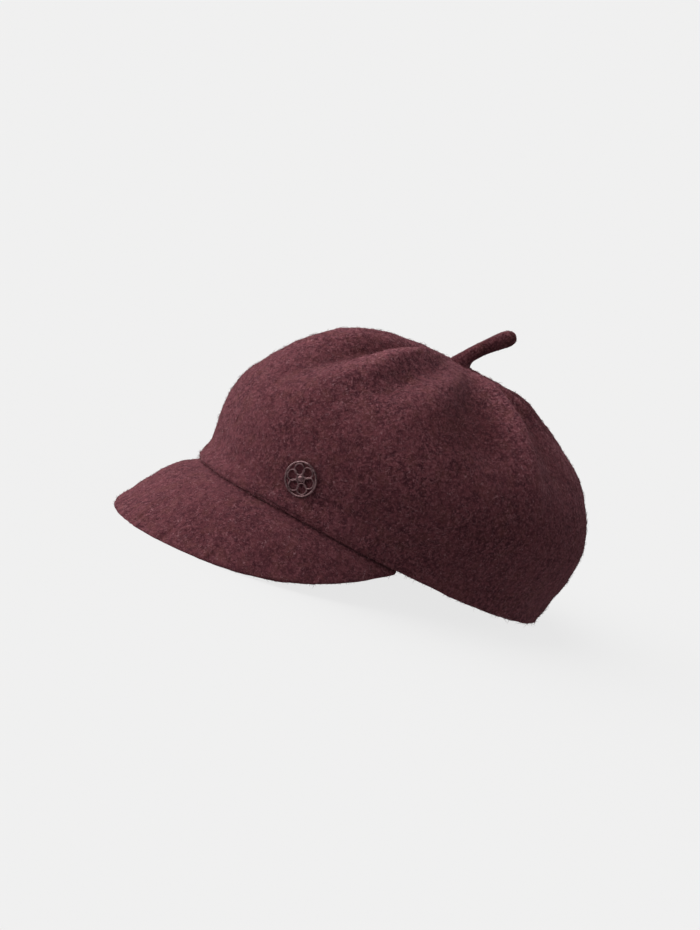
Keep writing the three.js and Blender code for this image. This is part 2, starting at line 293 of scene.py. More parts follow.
def relief(points):
    """How far the felt stands out at each point, in millimetres."""
    heights = np.empty(len(points))
    for i, point in enumerate(points):
        place = Vector(point)
        lumps = noise.fractal(place / LUMP_SIZE, 1, 2, 2)
        nubs = noise.noise(place / NUB_SIZE)
        heights[i] = LUMP_RISE * lumps + NUB_RISE * nubs
    return heights


print("the felt at the pole stands out by", np.round(relief(pole[None] / MM), 2), "mm")

# %% [markdown]
# ## From a flat sheet to a closed body
#
# Felt pieces start as sheets, and so do these: a grid of faces made in one step. A function
# then says where each point of the sheet goes, from how far across and how far up the sheet
# it is. Edges that meet are merged, so a sheet rolled into a closed body has no seam left.
# The same helper makes the crown and the peak, with their own functions.

# %% Shape a sheet
MERGE = 1e-6


def shaped_sheet(name, across, up, place, painted_tone=None):
    """A grid whose points go where place(across, up) says, closed wherever its edges meet.

    The last argument, where given, says how much painted light or shade each point gets.
    """
    bm = bmesh.new()
    bmesh.ops.create_grid(bm, x_segments=across, y_segments=up, size=0.5)
    flat = np.array([v.co for v in bm.verts]) + 0.5
    turn = np.round(flat[:, 0] * across) / across
    band = np.round(flat[:, 1] * up) / up
    for vert, point in zip(bm.verts, place(turn, band), strict=True):
        vert.co = point
    # Painted light and shade, kept with each point for the finish of the felt.
    if painted_tone:
        layer = bm.verts.layers.float.new("painted_shading")
        for vert, value in zip(bm.verts, painted_tone(turn, band), strict=True):
            vert[layer] = value
    bmesh.ops.remove_doubles(bm, verts=bm.verts, dist=MERGE)
    bmesh.ops.recalc_face_normals(bm, faces=bm.faces)
    return finished(bm, name)


def finished(bm, name):
    """Turns the bmesh into a smooth object at the origin and prints what it is."""
    open_edges = sum(not edge.is_manifold for edge in bm.edges)
    mesh = bpy.data.meshes.new(name)
    bm.to_mesh(mesh)
    bm.free()
    mesh.polygons.foreach_set("use_smooth", [True] * len(mesh.polygons))
    piece = bpy.data.objects.new(name, mesh)
    bpy.context.scene.collection.objects.link(piece)
    mesh.calc_loop_triangles()
    print(f"{name}: {len(mesh.loop_triangles)} triangles, {open_edges} open edges")
    return piece


# %% [markdown]
# ## The crown
#
# The crown is one sheet: across it runs once round the head, and up it runs from the middle
# of the inside, down to the rim, round the rim's soft edge and up the outside to the pole.
# A Solidify modifier could give a single face its wall, but it would leave the rim square,
# and felt that is turned in and pressed has a rounded rim. Over the peak the rim reaches a
# little lower and flares out, so that it comes close to the peak and the seam looks shut.
#
# Each point also gets a number of painted light and shade, from the folds and the third table:
# it is higher on the ridges and lower in the troughs. It is kept with the mesh as a named attribute.

# %% Measures of the crown's sheet
CROWN_SECTORS = 384
INNER_ROWS, RIM_ROWS, OUTER_ROWS = 48, 10, 144
CROWN_BANDS = INNER_ROWS + RIM_ROWS + OUTER_ROWS
INNER_RELIEF = 0.6     # how rough the inside is, against the outside
PAINTED_SHADING_RANGE = 14         # millimetres of fold from the darkest painted shade to the lightest painted light
HEM_FLARE = 1.0        # how far the rim flares out over the peak
HEM_SHARE = 0.12       # the share up to which it flares
RIM_DROP = 0.9         # how much lower the rim reaches over the peak
HEM_FADES = (60, 85)   # degrees from the front between which both die out
RIM_SQUARENESS = 0.65  # 1 would be a half round edge, and less is fuller


def crown_place(turn, band):
    """The angle, the row of the sheet, whether it is inside, and the share of the profile."""
    angle = (turn % 1) * 2 * math.pi
    row = band * CROWN_BANDS
    inside = row < INNER_ROWS
    share = np.where(inside, 1 - row / INNER_ROWS, (row - INNER_ROWS - RIM_ROWS) / OUTER_ROWS)
    return angle, row, inside, np.clip(share, 0, 1)


print("the crown's sheet is", CROWN_SECTORS, "faces round and", CROWN_BANDS, "up")


# %% Make the crown
def crown_sheet(turn, band):
    angle, row, inside, share = crown_place(turn, band)
    rolled = math.pi * np.clip((row - INNER_ROWS) / RIM_ROWS, 0, 1)
    across, down = np.cos(rolled), np.abs(np.sin(rolled)) ** RIM_SQUARENESS
    depth = WALL / 2 * (1 + np.sign(across) * np.abs(across) ** RIM_SQUARENESS)
    side = (angle / DEGREE + 180) % 360 - 180
    over_peak = 1 - smoothstep(np.abs(side), *HEM_FADES)
    flare = HEM_FLARE * over_peak * (1 - smoothstep(share, 0, HEM_SHARE)) * ~inside
    points = crown_point(angle, share, depth - flare * (1 - depth / WALL))
    points[:, 2] -= (WALL / 2 + RIM_DROP * over_peak) * down
    bumps = relief(points) * np.where(inside, -INNER_RELIEF, 1)
    return lay_down(points + outward(angle, share) * bumps[:, None])


def crown_painted_shading(turn, band):
    """Painted light and shade: 0 darkest, 0.5 neither, 1 lightest; ridges lighter, troughs darker."""
    angle, _, inside, share = crown_place(turn, band)
    height = fold_height(angle, share, MAIN_FOLDS + SMALL_FOLDS + PAINTED_LIGHT_AND_SHADE)
    return np.where(inside, 0.5, np.clip(0.5 + height / PAINTED_SHADING_RANGE, 0, 1))


crown = shaped_sheet("crown_felt", CROWN_SECTORS, CROWN_BANDS, crown_sheet, crown_painted_shading)

# %% [markdown]
# ## The peak
#
# The peak is one thick piece of the same felt. Its sewn edge, the tongue, stands up inside
# the rim, the felt turns under the rim, and from there it bends down and out to a blunt cut
# edge. Here the sheet is rolled the other way: across it goes once round that section, and
# up it goes from the wearer's right to the left. At both ends the peak runs out to nothing.
#
# Two things keep it from looking cast: the cut edge waves and has small tucks, from noise
# that is read along the edge, and the seam has pressed a shallow groove beside the rim.

# %% The peak's section
PEAK_HALF_ARC = 74.5     # degrees from the front to each end
PEAK_THICKNESS = 3.4
TONGUE_THICKNESS = 2.2
TONGUE_HEIGHT = 3.2
SEAM_GAP = 1             # between the tongue and the inside of the crown
SEAM_DROP = 4.9          # from the rim down to the middle of the peak's felt
EDGE_FULLNESS = 0.4      # 1 would be a half round edge, and less is blunter
TONGUE_SHARE = 0.3       # the share of the section over which the tongue thickens
END_SHARPNESS = 8        # the higher, the closer to its ends the peak starts to thin
PEAK_END = (-4.8, -2.6)  # out and up from the rim, where both ends run out
PEAK_REACH = [47.2, 46.6, 44.6, 41.8, 37.3, 30.2, 20.4, 9.5, 0]  # from the front to an end
PEAK_DROOP = 3.7         # how far the edge hangs lower than its slope alone would bring it
Bend = namedtuple("Bend", "out down droop")
PEAK_BEND = [
    Bend(0, 0, 0),
    Bend(0.174, 0.095, 0.36),
    Bend(0.333, 0.24, 0.64),
    Bend(0.46, 0.402, 0.84),
    Bend(0.575, 0.568, 0.96),
    Bend(0.693, 0.73, 1),
]


def peak_middle(reach, run):
    """The middle of the peak's felt, as its distance out from the rim and its height.

    The run goes in three equal parts: down the tongue, round under the rim, out to the edge.
    """
    inside = -(WALL + SEAM_GAP + TONGUE_THICKNESS / 2)
    slope = PEAK_BEND[1].down / PEAK_BEND[1].out
    corner_up = -SEAM_DROP - slope * inside
    down, round_rim, plate = (np.clip(run * 3 - part, 0, 1) for part in range(3))
    tongue_up = TONGUE_HEIGHT * (1 - down)
    turn_out = inside * (1 - round_rim) ** 2 + 2 * inside * round_rim * (1 - round_rim)
    turn_up = 2 * corner_up * round_rim * (1 - round_rim) - SEAM_DROP * round_rim**2
    plate_out = reach * through([bend.out for bend in PEAK_BEND], plate)
    plate_up = -SEAM_DROP - reach * through([bend.down for bend in PEAK_BEND], plate)
    plate_up = plate_up - PEAK_DROOP * through([bend.droop for bend in PEAK_BEND], plate)
    first, second = run < 1 / 3, run < 2 / 3
    out = np.where(first, inside, np.where(second, turn_out, plate_out))
    up = np.where(first, tongue_up, np.where(second, turn_up, plate_up))
    return np.stack([out, up], -1)


edge_front = peak_middle(np.array([PEAK_REACH[0]]), np.ones(1))[0]
print("the peak's front edge stands", np.round(edge_front, 1), "mm out and up from the rim")

# %% The waves, tucks and groove of the peak
PEAK_SLICES, PEAK_STACKS = 108, 300
EDGE_WAVE, EDGE_WAVE_LENGTH = 0.6, 9
TUCK_DEPTH, TUCK_SPACING, TUCK_FEWNESS, TUCK_RANGE = 0.7, 5, 0.6, (0.86, 0.97)
GROOVE_DEPTH, GROOVE_RUN, GROOVE_WIDTH = 0.5, 0.68, 0.035
RELIEF_RANGE = (0.5, 0.64)
# Between these angles the painted light on the peak fades out.
PEAK_PAINTED_LIGHT_FADES = (-48, -8)  # degrees from the front, less than 0 on the wearer's right


def along_edge(angle, spacing, seed):
    """Noise along the peak, which is the same from its seam to its edge."""
    steps = angle * CROWN_ROWS[0].front / spacing
    return np.array([noise.noise(Vector((step, seed, 0))) for step in steps])


waves = EDGE_WAVE * along_edge(np.linspace(-1, 1, 200), EDGE_WAVE_LENGTH, 1)
print(f"the peak's edge waves from {waves.min():.2f} to {waves.max():.2f} mm")


# %% Make the peak
def peak_sheet(turn, band):
    share = 2 * band - 1
    angle = share * PEAK_HALF_ARC * DEGREE
    ending = np.sqrt(np.maximum(1 - np.abs(share) ** END_SHARPNESS, 0))
    wave = EDGE_WAVE * along_edge(angle, EDGE_WAVE_LENGTH, 1)
    reach = through(PEAK_REACH, np.abs(share)) + wave
    around = (turn % 1) * 2 * math.pi
    run, side = (1 - np.cos(around)) / 2, np.sin(around)
    filling = smoothstep(run, 0, TONGUE_SHARE)
    thickness = TONGUE_THICKNESS + (PEAK_THICKNESS - TONGUE_THICKNESS) * filling
    offset = thickness / 2 * np.sign(side) * np.abs(side) ** EDGE_FULLNESS
    step = 1e-4
    middle = peak_middle(reach, run)
    ahead = peak_middle(reach, np.minimum(run + step, 1))
    behind = peak_middle(reach, np.maximum(run - step, 0))
    along = ahead - behind
    along = along / np.maximum(np.linalg.norm(along, axis=-1, keepdims=True), 1e-12)
    section_out = middle[:, 0] - along[:, 1] * offset
    section_up = middle[:, 1] + along[:, 0] * offset
    out = PEAK_END[0] + (section_out - PEAK_END[0]) * ending
    up = PEAK_END[1] + (section_up - PEAK_END[1]) * ending
    rim = CROWN_ROWS[0]
    away = unit(np.stack([np.sin(angle) / rim.side, -np.cos(angle) / rim.front, 0 * angle], -1))
    points = smooth_crown(angle, np.zeros_like(angle)) + away * out[:, None]
    points[:, 2] += up
    face = away * (-along[:, 1] * np.sign(side))[:, None]
    face[:, 2] += along[:, 0] * np.sign(side)
    tuck = np.clip(3 * along_edge(angle, TUCK_SPACING, 5) - TUCK_FEWNESS, 0, 1)
    groove = GROOVE_DEPTH * np.exp(-(((run - GROOVE_RUN) / GROOVE_WIDTH) ** 2))
    bumps = relief(points) - TUCK_DEPTH * tuck * smoothstep(run, *TUCK_RANGE) - groove
    bumps = bumps * ending * smoothstep(run, *RELIEF_RANGE)
    return lay_down(points + face * bumps[:, None])


def peak_painted_light(turn, band):
    """Painted light: the felt is made lighter on the wearer's right, where the light falls, and toward
    the left it isn't.
    """
    side = (2 * band - 1) * PEAK_HALF_ARC
    return 0.5 + 0.5 * (1 - smoothstep(side, *PEAK_PAINTED_LIGHT_FADES))


# The peak gets painted light on the wearer's right.
peak = shaped_sheet("peak_felt", PEAK_SLICES, PEAK_STACKS, peak_sheet, peak_painted_light)

# %% [markdown]
# ## The stem
#
# The little stem on top is a strip of felt rolled tight and sewn through the crown. Its
# outline is a row of radii, spun once round the axis. The straight stem is then bent: each
# point keeps its distance from the axis, and the axis becomes a curve that leaves the crown
# upright and leans back.

# %% The outline of the stem and the curve of its axis
Ring = namedtuple("Ring", "radius along")
STEM_RINGS = [
    Ring(0, -1.6),
    Ring(6.6, -1.6),
    Ring(5.9, -0.2),
    Ring(4.7, 1.4),
    Ring(3.9, 3.4),
    Ring(3.45, 6),
    Ring(3.35, 9),
    Ring(3.45, 15),
    Ring(3.8, 21),
    Ring(4.0, 27),
    Ring(3.7, 30),
    Ring(2.6, 32.1),
    Ring(1.2, 32.9),
    Ring(0, 33),
]
STEM_LENGTH = 33
STEM_GAP = 1
STEM_BOW = np.array([(0, 0, 0), (0, 0.6, 5.5), (0, 11, 15), (0, 23, 24)])
STEM_SECTORS, STEM_ROWS = 40, 90
STEM_RELIEF, STEM_GRAIN = 0.25, 1.6
STEM_FULLNESS = 0.25


def bezier(points, t):
    t = t[:, None]
    return (
        points[0] * (1 - t) ** 3
        + 3 * points[1] * t * (1 - t) ** 2
        + 3 * points[2] * t**2 * (1 - t)
        + points[3] * t**3
    )


BOW_STEPS = np.linspace(0, 1, 401)
BOW_POINTS = bezier(STEM_BOW, BOW_STEPS)
BOW_LENGTHS = np.append(0, np.linalg.norm(np.diff(BOW_POINTS, axis=0), axis=1).cumsum())
print(f"the stem's axis is {BOW_LENGTHS[-1]:.1f} mm long")


# %% Make the stem
def stem_sheet(turn, band):
    angle = (turn % 1) * 2 * math.pi
    radius = through([ring.radius for ring in STEM_RINGS], band)
    along = through([ring.along for ring in STEM_RINGS], band)
    share = np.clip(along / STEM_LENGTH, 0, 1)
    t = np.interp(share * BOW_LENGTHS[-1], BOW_LENGTHS, BOW_STEPS)
    axis = bezier(STEM_BOW, t)
    step = 1e-3
    ahead, behind = np.minimum(t + step, 1), np.maximum(t - step, 0)
    heading = unit(bezier(STEM_BOW, ahead) - bezier(STEM_BOW, behind))
    heading[along <= 0] = (0, 0, 1)
    axis[:, 2] += np.minimum(along, 0)
    sideways = np.array([1.0, 0, 0])
    forward = np.cross(sideways, heading)
    spoke = np.cos(angle)[:, None] * sideways + np.sin(angle)[:, None] * forward
    foot = np.array([0, POLE_BACK, CROWN_ROWS[-1].front_up + STEM_GAP])
    points = axis + spoke * np.maximum(radius, 0)[:, None] + foot
    bumps = STEM_FULLNESS + STEM_RELIEF * relief(points * STEM_GRAIN)
    bumps *= smoothstep(radius, 0, 2)
    return lay_down(points + spoke * bumps[:, None])


stem = shaped_sheet("stem_felt", STEM_SECTORS, STEM_ROWS, stem_sheet)

# %% [markdown]
# ## The badge
#
# The badge is bent from round wire and soldered: an outer ring, six small loops in a rosette
# and a bead in the middle. A torus could be added ready made, but a wire ring is just as
# easily a small circle spun once round a centre, so one helper makes the ring and every
# loop. The badge is made flat first, and then set on the crown so that it faces out.

# %% Wire for the badge
RING_RADIUS, RING_WIRE = 8.7, 0.6
PETALS, PETAL_RADIUS, PETAL_WIRE, PETAL_CENTRE = 6, 2.8, 0.42, 5
BEAD_RADIUS = 2
BADGE_ANGLE, BADGE_HEIGHT, BADGE_GAP = 32.5 * DEGREE, 0.275, 0.6


def wire_ring(bm, radius, wire, centre, sides, steps):
    """A ring of round wire that lies flat round its centre."""
    made = bmesh.ops.create_circle(bm, segments=sides, radius=wire)
    bmesh.ops.rotate(bm, verts=made["verts"], matrix=Matrix.Rotation(math.pi / 2, 3, "X"))
    bmesh.ops.translate(bm, verts=made["verts"], vec=centre + Vector((radius, 0, 0)))
    hoop = {edge for vert in made["verts"] for edge in vert.link_edges}
    bmesh.ops.spin(
        bm, geom=list(hoop), cent=centre, axis=(0, 0, 1), angle=2 * math.pi, steps=steps,
        use_merge=True,
    )


print(f"the badge is {2 * (RING_RADIUS + RING_WIRE):.1f} mm across")


# %% Make the badge
def badge_seat():
    """Where the badge sits on the crown, and how it is turned."""
    angle, share = np.array([BADGE_ANGLE]), np.array([BADGE_HEIGHT])
    facing = Vector(outward(angle, share)[0])
    right = Vector((0, 0, 1)).cross(facing).normalized()
    upright = facing.cross(right)
    centre = Vector(crown_point(angle, share, -BADGE_GAP - RING_WIRE)[0])
    return Matrix.Translation(centre) @ Matrix((right, upright, facing)).transposed().to_4x4()


bm = bmesh.new()
wire_ring(bm, RING_RADIUS, RING_WIRE, Vector((0, 0, 0)), 16, 96)
for i in range(PETALS):
    turned = Matrix.Rotation(2 * math.pi * i / PETALS, 3, "Z")
    wire_ring(bm, PETAL_RADIUS, PETAL_WIRE, turned @ Vector((PETAL_CENTRE, 0, 0)), 12, 48)
bead = bmesh.ops.create_uvsphere(bm, u_segments=28, v_segments=16, radius=BEAD_RADIUS)
bmesh.ops.scale(bm, verts=bead["verts"], vec=(1, 1, 0.5))
bmesh.ops.transform(bm, matrix=badge_seat(), verts=bm.verts)
for vert in bm.verts:
    vert.co = Vector(lay_down(vert.co))
bmesh.ops.recalc_face_normals(bm, faces=bm.faces)
badge = finished(bm, "badge_wire")

# %% [markdown]
# ## The nap
#
# Boiled wool has fibres that lie over it and stand off it. They blur its outline and give it
# the heathered look, lighter threads over darker wool. Hair particles could do it, but a
# mesh of small closed spikes keeps with the piece wherever it is used. Each spike starts at
# a random spot of the felt, leans along it, and bends on its way to the tip. It has seven
# corners: three at the root, three halfway and the tip. All the spikes of a piece are worked
# out at once, as arrays, which takes a second where single operators would take minutes.
#
# Most of the crown's fibres grow on its whole outer face. A few more, and shorter ones, fray
# the edge of the rim at the front, which is handled most.

# %% Where fibres may grow
MIDDLE = (0, 0.018, 0.045)
FACES_DOWN = -0.35  # a normal whose upward part is less than this faces down


def surface_of(piece):
    """Corner points and normals of every triangle of a piece."""
    mesh = piece.data
    mesh.calc_loop_triangles()
    corners = np.empty(len(mesh.loop_triangles) * 3, np.int32)
    mesh.loop_triangles.foreach_get("vertices", corners)
    points, normals = (np.empty(len(mesh.vertices) * 3, np.float32) for _ in range(2))
    mesh.vertices.foreach_get("co", points)
    mesh.vertices.foreach_get("normal", normals)
    corners = corners.reshape(-1, 3)
    return [found.reshape(-1, 3)[corners].astype(float) for found in (points, normals)]


def outer_face(points, normals):
    return ((points - MIDDLE) * normals).sum(1) > 0


def everywhere(points, normals):
    return np.ones(len(points), bool)


def rim_edge(points, normals):
    return outer_face(points, normals) & (normals[:, 2] < FACES_DOWN) & (points[:, 1] < 0)


for keep in (outer_face, everywhere, rim_edge):
    share = keep(*(found.mean(1) for found in surface_of(crown))).mean()
    print(f"{keep.__name__}: {100 * share:.0f} % of the crown's triangles")

# %% One mesh of many fibres
NAP_LENGTH = (1.2, 3.6)
NAP_THICKNESS = (0.055, 0.1)
NAP_RISE = (0.02, 0.42)       # how far the tip stands off, as a share of the length
NAP_ROOT = 0.25               # how deep the root sits in the felt
NAP_BEND = 0.5                # how far the tip bends sideways at most, as a share too
NAP_ARCH, NAP_LIFT = 1.2, 0.12  # how much more steeply the first half rises
NAP_TAPER = 0.8               # how thick the fibre still is halfway
SPIKE = [(2, 1, 0), (0, 1, 4, 3), (1, 2, 5, 4), (2, 0, 3, 5), (3, 4, 6), (4, 5, 6), (5, 3, 6)]
SPIKE_CORNERS = 7
SPIKE_TRIANGLES = 10


def spikes(chance, root, up, size):
    """The corners of a spike at each root, as an array of fibre, corner and coordinate."""
    count = len(root)
    heading = unit(np.cross(up, chance.normal(size=(count, 3))))
    beside = np.cross(up, heading)
    length = size * chance.uniform(*NAP_LENGTH, count)[:, None] * MM
    thick = chance.uniform(*NAP_THICKNESS, count)[:, None] * MM
    rise = (NAP_RISE[0] + (NAP_RISE[1] - NAP_RISE[0]) * chance.random(count) ** 3)[:, None]
    bend = chance.uniform(-NAP_BEND, NAP_BEND, count)[:, None]
    root = root - up * NAP_ROOT * MM
    halfway = root + (heading + up * (rise * NAP_ARCH + NAP_LIFT)) * length / 2
    tip = root + (heading + up * rise + beside * bend) * length
    corners = []
    for centre, taper in ((root, 1.0), (halfway, NAP_TAPER)):
        for corner in range(3):
            turn = corner * 2 * math.pi / 3
            spoke = beside * math.cos(turn) + up * math.sin(turn)
            corners.append(centre + spoke * thick * taper)
    corners = np.stack([*corners, tip], 1)
    corners[..., 2] = np.maximum(corners[..., 2], 0)
    return corners


def grow_nap(name, piece, count, seed, keep, size=1.0):
    """Spikes of wool over the triangles of the piece that keep(points, normals) picks."""
    chance = np.random.default_rng(seed)
    points, normals = surface_of(piece)
    kept = keep(points.mean(1), normals.mean(1))
    points, normals = points[kept], normals[kept]
    area = np.linalg.norm(np.cross(points[:, 1] - points[:, 0], points[:, 2] - points[:, 0]), axis=1)
    picked = chance.choice(len(area), count, p=area / area.sum())
    weights = chance.dirichlet((1, 1, 1), count)[..., None]
    root = (points[picked] * weights).sum(1)
    up = unit((normals[picked] * weights).sum(1))
    verts = spikes(chance, root, up, size)
    faces = [[SPIKE_CORNERS * i + corner for corner in face] for i in range(count) for face in SPIKE]
    mesh = bpy.data.meshes.new(name)
    mesh.from_pydata(verts.reshape(-1, 3), [], faces)
    mesh.polygons.foreach_set("use_smooth", [True] * len(mesh.polygons))
    uv = mesh.uv_layers.new(name="OFBake")
    shade = chance.random(count)
    shade_of_loop = np.repeat(shade, sum(len(face) for face in SPIKE))
    along_of_corner = np.array([0.02, 0.02, 0.02, 0.5, 0.5, 0.5, 0.98])
    along = np.tile(along_of_corner[[corner for face in SPIKE for corner in face]], count)
    uv.data.foreach_set("uv", np.stack([shade_of_loop * 0.96 + 0.02, along], -1).ravel())
    nap = bpy.data.objects.new(name, mesh)
    bpy.context.scene.collection.objects.link(nap)
    print(f"{name}: {count} fibres, {SPIKE_TRIANGLES * count} triangles")
    return nap


# %% Grow the nap
naps = [
    grow_nap("crown_nap_first", crown, count=16000, seed=11, keep=outer_face),
    grow_nap("crown_nap_second", crown, count=16000, seed=12, keep=outer_face),
    grow_nap("crown_nap_third", crown, count=16000, seed=13, keep=outer_face),
    grow_nap("peak_nap", peak, count=15000, seed=14, keep=everywhere, size=0.75),
    grow_nap("stem_nap", stem, count=1600, seed=15, keep=everywhere, size=0.55),
    grow_nap("rim_nap", crown, count=2600, seed=16, keep=rim_edge, size=0.6),
]

# %% [markdown]
# ## A kit for finishes
#
# A finish is a tree of nodes. In the editor they are dragged and joined by hand. In a script
# a few short helpers do it, one for each kind of node that comes back often: noise of a given
# size in millimetres, a range stretched to another, arithmetic, one colour laid over another,
# and fine winding lines, which are where noise crosses its middle value.

# %% Helpers for nodes
def linked(tree, kind, links=(), **settings):
    """A node with its settings, and its inputs linked or set by name or number."""
    node = tree.nodes.new(kind)
    for name, value in settings.items():
        setattr(node, name, value)
    for key, value in dict(links).items():
        if isinstance(value, bpy.types.NodeSocket):
            tree.links.new(value, node.inputs[key])
        else:
            node.inputs[key].default_value = value
    return node


def noise_of(tree, place, size, detail=2.0, roughness=0.5, distortion=0.0):
    """Noise whose features are about that many millimetres wide."""
    found = linked(
        tree, "ShaderNodeTexNoise",
        {"Vector": place, "Scale": 1 / (size * MM), "Detail": detail, "Roughness": roughness,
         "Distortion": distortion},
    )
    return found.outputs["Fac"]


def stretched(tree, value, low, high, to_low=0.0, to_high=1.0):
    found = linked(
        tree, "ShaderNodeMapRange",
        {"Value": value, "From Min": low, "From Max": high, "To Min": to_low, "To Max": to_high},
    )
    return found.outputs["Result"]


def maths(tree, operation, first, second):
    return linked(tree, "ShaderNodeMath", {0: first, 1: second}, operation=operation).outputs[0]


def widened(tree, value, times):
    """A value round 0.5, that many times as far from 0.5."""
    off_middle = maths(tree, "SUBTRACT", value, 0.5)
    return maths(tree, "ADD", maths(tree, "MULTIPLY", off_middle, times), 0.5)


def blended(tree, amount, first, second, how="MIX"):
    found = linked(
        tree, "ShaderNodeMix", {"Factor": amount}, data_type="RGBA", blend_type=how,
    )
    for socket, value in ((found.inputs[6], first), (found.inputs[7], second)):
        if isinstance(value, bpy.types.NodeSocket):
            tree.links.new(value, socket)
        else:
            socket.default_value = (*value, 1)
    return found.outputs[2]


def hairs(tree, place, size, width, distortion):
    """Fine winding lines: 1 on the line, 0 beside it."""
    wave = noise_of(tree, place, size, 1.5, 0.5, distortion)
    off_middle = maths(tree, "ABSOLUTE", maths(tree, "SUBTRACT", wave, 0.5), 0)
    return stretched(tree, off_middle, 0, width, 1, 0)


def new_material(name):
    """(material, its node tree, its Principled shader), ready to be dressed."""
    material = bpy.data.materials.new(name)
    material.use_nodes = True
    tree = material.node_tree
    shader = tree.nodes["Principled BSDF"]
    return material, tree, shader


print("helpers ready:", ", ".join(kit.__name__ for kit in (linked, noise_of, stretched, blended, hairs)))

# %% [markdown]
# ## The finish of the felt
#
# The wool was dyed before it was felted, so the burgundy isn't even: darker plum and lighter
# rose fibres lie mixed, in flecks of one to three millimetres, with a russet cast here and
# there and thin pale hairs between them. A picture could hold that, but noise at several
# scales, read from the object's own coordinates, has no seam and no tile. The flecks stand
# out more behind the front than on it.
#
# The colours go on in layers. Each row of the table says which pattern places a dye, between
# which two values of the pattern the dye fades in, and how much of it there is at each.
# Where the mesh carries painted light and shade, the colour is made lighter on the ridges and
# where light falls, and darker in the troughs and where folds shade the felt. The same patterns
# give the bump, and a little sheen stands for the light that the standing fibres catch.

# %% Dyes and patterns
PLUM = (0.034, 0.0092, 0.0132)
BURGUNDY = (0.114, 0.034, 0.0405)
BRIGHT_BURGUNDY = tuple(1.25 * part for part in BURGUNDY)
ROSE = (0.225, 0.087, 0.098)
HAIR = (0.330, 0.165, 0.180)
RUSSET = (0.092, 0.033, 0.027)
Pattern = namedtuple("Pattern", "size detail roughness distortion")
PATTERNS = {
    "drift": Pattern(26, 2, 0.5, 0),
    "warm": Pattern(8, 2, 0.6, 0),
    "mottle": Pattern(2.6, 3, 0.62, 0.6),
    "fleck": Pattern(1.3, 2, 0.6, 0.4),
    "grain": Pattern(0.55, 2, 0.6, 0),
    "hair spots": Pattern(3.1, 1, 0.5, 0),
}
Hairs = namedtuple("Hairs", "size width distortion")
LONG_HAIRS, SHORT_HAIRS = Hairs(5.0, 0.016, 2.2), Hairs(2.4, 0.03, 1.4)
HAIR_SPOTS = (0.5, 0.62)
FLECKS_FROM, FLECKS_TO = -0.08, -0.02
FLECKS_IN_FRONT, FLECKS_BEHIND = 0.95, 1.65


def felt_patterns(tree, shift):
    """Every pattern of the felt by its name."""
    place = linked(tree, "ShaderNodeTexCoord").outputs["Object"]
    place = linked(tree, "ShaderNodeMapping", {"Vector": place, "Location": shift}).outputs[0]
    seen = {name: noise_of(tree, place, *pattern) for name, pattern in PATTERNS.items()}
    along = linked(tree, "ShaderNodeSeparateXYZ", {"Vector": place}).outputs["Y"]
    contrast = stretched(tree, along, FLECKS_FROM, FLECKS_TO, FLECKS_IN_FRONT, FLECKS_BEHIND)
    for name in ("mottle", "fleck"):
        seen[name] = widened(tree, seen[name], contrast)
    seen["short hairs"] = hairs(tree, place, *SHORT_HAIRS)
    seen["long hairs"] = hairs(tree, place, *LONG_HAIRS)
    spots = stretched(tree, seen["hair spots"], *HAIR_SPOTS)
    seen["spotted hairs"] = maths(tree, "MULTIPLY", seen["long hairs"], spots)
    return seen


print("patterns of", ", ".join(f"{pattern.size} mm" for pattern in PATTERNS.values()))

# %% Layers of the felt
Layer = namedtuple("Layer", "pattern low high at_low at_high dye")
LAYERS = [
    Layer("mottle", 0.38, 0.63, 0, 1, BURGUNDY),
    Layer("warm", 0.5, 0.66, 0, 0.5, RUSSET),
    Layer("fleck", 0.52, 0.75, 0, 0.75, ROSE),
    Layer("drift", 0.35, 0.65, 0, 0.3, BRIGHT_BURGUNDY),
    Layer("spotted hairs", 0, 1, 0, 1, HAIR),
    Layer("short hairs", 0, 1, 0, 0.35, ROSE),
    Layer("grain", 0.3, 0.7, 0.5, 0, PLUM),
]
# How far painted shade darkens and painted light lightens each channel, from 0 to 1.
PAINTED_SHADING_TONES = {"Red": (0.6, 1.4), "Green": (0.55, 1.5), "Blue": (0.55, 1.52)}


def felt_colour(tree, seen, tone, painted_shading):
    """The dyes laid over plum one after another, then lightened and darkened by painted light and shade.
    """
    wool = tuple(tone * part for part in PLUM)
    for layer in LAYERS:
        ends = (layer.low, layer.high, layer.at_low, layer.at_high)
        amount = stretched(tree, seen[layer.pattern], *ends)
        wool = blended(tree, amount, wool, tuple(tone * part for part in layer.dye))
    if not painted_shading:
        return wool
    # Painted light and shade, read from the mesh: lighter on ridges and where light falls, darker in
    # troughs and shaded folds.
    painted_tone = linked(tree, "ShaderNodeAttribute", attribute_name="painted_shading").outputs["Fac"]
    tones = {name: stretched(tree, painted_tone, 0, 1, *ends) for name, ends in PAINTED_SHADING_TONES.items()}
    shade = linked(tree, "ShaderNodeCombineColor", tones).outputs[0]
    return blended(tree, 1, wool, shade, "MULTIPLY")


print(len(LAYERS), "layers over plum")

# %% Felt
HEIGHTS = {"long hairs": 0.35, "short hairs": 0.25, "fleck": 1.0, "grain": 0.5}
FELT_BUMP, FELT_BUMP_DEEP = 0.55, 0.45
FELT_SHEEN_TINT = (1, 0.5, 0.58, 1)


